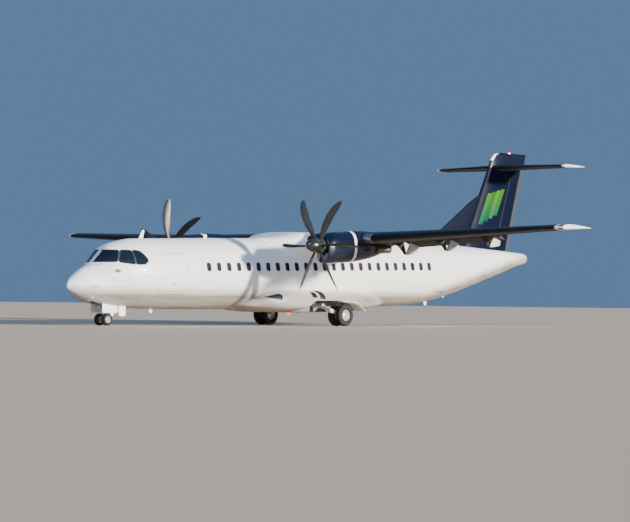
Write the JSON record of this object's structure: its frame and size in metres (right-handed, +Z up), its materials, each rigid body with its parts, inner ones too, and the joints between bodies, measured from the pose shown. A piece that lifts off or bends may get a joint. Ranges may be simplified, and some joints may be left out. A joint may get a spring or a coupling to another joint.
{
  "type": "twin-engine turboprop airliner",
  "caption": "High-wing, T-tail turboprop airliner on its landing gear, with turning propellers, steered nose wheels, control surfaces, flaps and doors.",
  "frame": {"origin": "on the ground below the middle of the whole aircraft's bounding box", "axes": "+X aft along the fuselage, +Y to starboard, +Z up"},
  "size_m": [27.17, 27.05, 7.65],
  "materials": {
    "white_paint": "glossy white enamel, a warm reflection low on the body",
    "white_radome": "glossy white composite nose",
    "navy_paint": "glossy dark navy enamel",
    "navy_composite": "glossy dark navy enamel on a composite skin",
    "wing_paint": "navy above, satin grey below, black rubber along the leading edge",
    "grey_paint": "satin grey paint on composite panels",
    "glazing": "dark tinted flight-deck glass",
    "gear_steel": "pale painted and bare steel",
    "wheel_white": "pale painted wheel hubs",
    "tyre_rubber": "black rubber, grey with dust on the tread",
    "blade_black": "black composite blades, grey at the tips",
    "engine_metal": "bare engine casing",
    "beacon_red": "red lens"
  },
  "bodies": {
    "airframe": {"radome": "white_radome", "cockpit_section": "white_paint", "cockpit_glazing": "glazing", "forward_fuselage": "white_paint", "centre_fuselage": "white_paint", "aft_fuselage": "white_paint", "tail_cone": "white_paint", "service_door": "white_paint", "exit_hatch_left": "white_paint", "exit_hatch_right": "white_paint", "wing_fairing": "white_radome", "belly_fairing": "white_radome", "wing_centre": "wing_paint", "wing_outer_left": "wing_paint", "wing_outer_right": "wing_paint", "fin": "navy_composite", "tailplane": "navy_composite", "fin_cap": "navy_composite", "nacelle_left": "navy_paint", "nacelle_right": "navy_paint", "engine_left": "engine_metal", "engine_right": "engine_metal", "exhaust_left": "engine_metal", "exhaust_right": "engine_metal", "nose_gear_leg": "gear_steel", "nose_gear_door_left": "white_paint", "nose_gear_door_right": "white_paint", "nose_gear_rear_door_left": "white_paint", "nose_gear_rear_door_right": "white_paint", "main_gear_leg_left": "gear_steel", "main_gear_leg_right": "gear_steel", "main_gear_door_left": "white_paint", "main_gear_door_right": "white_paint", "roof_aerial": "white_paint", "belly_beacon": "beacon_red"},
    "propeller_left": {"propeller_left": "blade_black", "spinner_left": "blade_black"},
    "propeller_right": {"propeller_right": "blade_black", "spinner_right": "blade_black"},
    "flap_inner_left": {"flap_inner_left": "grey_paint"},
    "flap_inner_right": {"flap_inner_right": "grey_paint"},
    "flap_outer_left": {"flap_outer_left": "grey_paint"},
    "flap_outer_right": {"flap_outer_right": "grey_paint"},
    "aileron_left": {"aileron_left": "grey_paint"},
    "aileron_right": {"aileron_right": "grey_paint"},
    "elevator_left": {"elevator_left": "navy_composite"},
    "elevator_right": {"elevator_right": "navy_composite"},
    "rudder": {"rudder": "navy_composite"},
    "nose_steering": {"nose_gear_fork": "gear_steel"},
    "nose_wheels": {"nose_wheels": "wheel_white", "nose_tyre_left": "tyre_rubber", "nose_tyre_right": "tyre_rubber"},
    "main_wheels_left": {"main_wheels_left": "wheel_white", "main_tyre_inner_left": "tyre_rubber", "main_tyre_outer_left": "tyre_rubber"},
    "main_wheels_right": {"main_wheels_right": "wheel_white", "main_tyre_inner_right": "tyre_rubber", "main_tyre_outer_right": "tyre_rubber"},
    "passenger_door": {"passenger_door": "white_paint"},
    "cargo_door": {"cargo_door": "white_paint"}
  },
  "joints": [
    {"name": "propeller_left_spin", "type": "hinge", "parent": "airframe", "child": "propeller_left", "pos_m": [-4.535, -4.05, 3.09], "axis": [1, 0, 0], "continuous": true},
    {"name": "propeller_right_spin", "type": "hinge", "parent": "airframe", "child": "propeller_right", "pos_m": [-4.535, 4.05, 3.09], "axis": [1, 0, 0], "continuous": true},
    {"name": "nose_steer", "type": "hinge", "parent": "airframe", "child": "nose_steering", "pos_m": [-11.785, 0, 0.5], "axis": [0, 0, 1], "range_deg": [-60, 60]},
    {"name": "nose_wheels_spin", "type": "hinge", "parent": "nose_steering", "child": "nose_wheels", "pos_m": [-11.785, 0, 0.225], "axis": [0, 1, 0], "continuous": true},
    {"name": "main_wheels_left_spin", "type": "hinge", "parent": "airframe", "child": "main_wheels_left", "pos_m": [-1.015, -2.05, 0.432], "axis": [0, 1, 0], "continuous": true},
    {"name": "main_wheels_right_spin", "type": "hinge", "parent": "airframe", "child": "main_wheels_right", "pos_m": [-1.015, 2.05, 0.432], "axis": [0, 1, 0], "continuous": true},
    {"name": "rudder_swing", "type": "hinge", "parent": "airframe", "child": "rudder", "pos_m": [11.32615, 0, 3.67], "axis": [0.3379, 0, 0.9412], "range_deg": [-27, 27]},
    {"name": "elevator_left_swing", "type": "hinge", "parent": "airframe", "child": "elevator_left", "pos_m": [12.50644, -3.3993, 6.93477], "axis": [-0.0284, 0.9996, -0.0014], "range_deg": [-23, 13]},
    {"name": "elevator_right_swing", "type": "hinge", "parent": "airframe", "child": "elevator_right", "pos_m": [12.41654, 0.2307, 6.93032], "axis": [0.0284, 0.9996, 0.0014], "range_deg": [-23, 13]},
    {"name": "aileron_left_swing", "type": "hinge", "parent": "airframe", "child": "aileron_left", "pos_m": [-0.59358, -13.09917, 3.74793], "axis": [0.0014, 0.9993, -0.0378], "range_deg": [-14, 14]},
    {"name": "aileron_right_swing", "type": "hinge", "parent": "airframe", "child": "aileron_right", "pos_m": [-0.58844, 9.52083, 3.61245], "axis": [-0.0014, 0.9993, 0.0378], "range_deg": [-14, 14]},
    {"name": "flap_inner_left_swing", "type": "hinge", "parent": "airframe", "child": "flap_inner_left", "pos_m": [-0.6332, -3.64, 2.8603], "axis": [0, 1, 0], "range_deg": [-22, 13]},
    {"name": "flap_inner_right_swing", "type": "hinge", "parent": "airframe", "child": "flap_inner_right", "pos_m": [-0.6332, 1.52, 2.8603], "axis": [0, 1, 0], "range_deg": [-22, 13]},
    {"name": "flap_outer_left_swing", "type": "hinge", "parent": "airframe", "child": "flap_outer_left", "pos_m": [-0.62938, -9.46, 3.14946], "axis": [-0.0008, 0.998, -0.0633], "range_deg": [-22, 13]},
    {"name": "flap_outer_right_swing", "type": "hinge", "parent": "airframe", "child": "flap_outer_right", "pos_m": [-0.63318, 4.93, 2.8622], "axis": [0.0008, 0.998, 0.0633], "range_deg": [-22, 13]},
    {"name": "passenger_door_swing", "type": "hinge", "parent": "airframe", "child": "passenger_door", "pos_m": [6.045, -1.0851, 1.40665], "axis": [1, 0, 0], "range_deg": [0, 135]},
    {"name": "cargo_door_swing", "type": "hinge", "parent": "airframe", "child": "cargo_door", "pos_m": [-8.92, -1.20004, 2.7218], "axis": [-1, 0, 0], "range_deg": [0, 110]}
  ],
  "couplings": [
    {"joint": "elevator_right_swing", "follows": "elevator_left_swing", "ratio": 1},
    {"joint": "aileron_right_swing", "follows": "aileron_left_swing", "ratio": -1},
    {"joint": "flap_inner_right_swing", "follows": "flap_inner_left_swing", "ratio": 1},
    {"joint": "flap_outer_left_swing", "follows": "flap_inner_left_swing", "ratio": 1},
    {"joint": "flap_outer_right_swing", "follows": "flap_inner_left_swing", "ratio": 1}
  ]
}
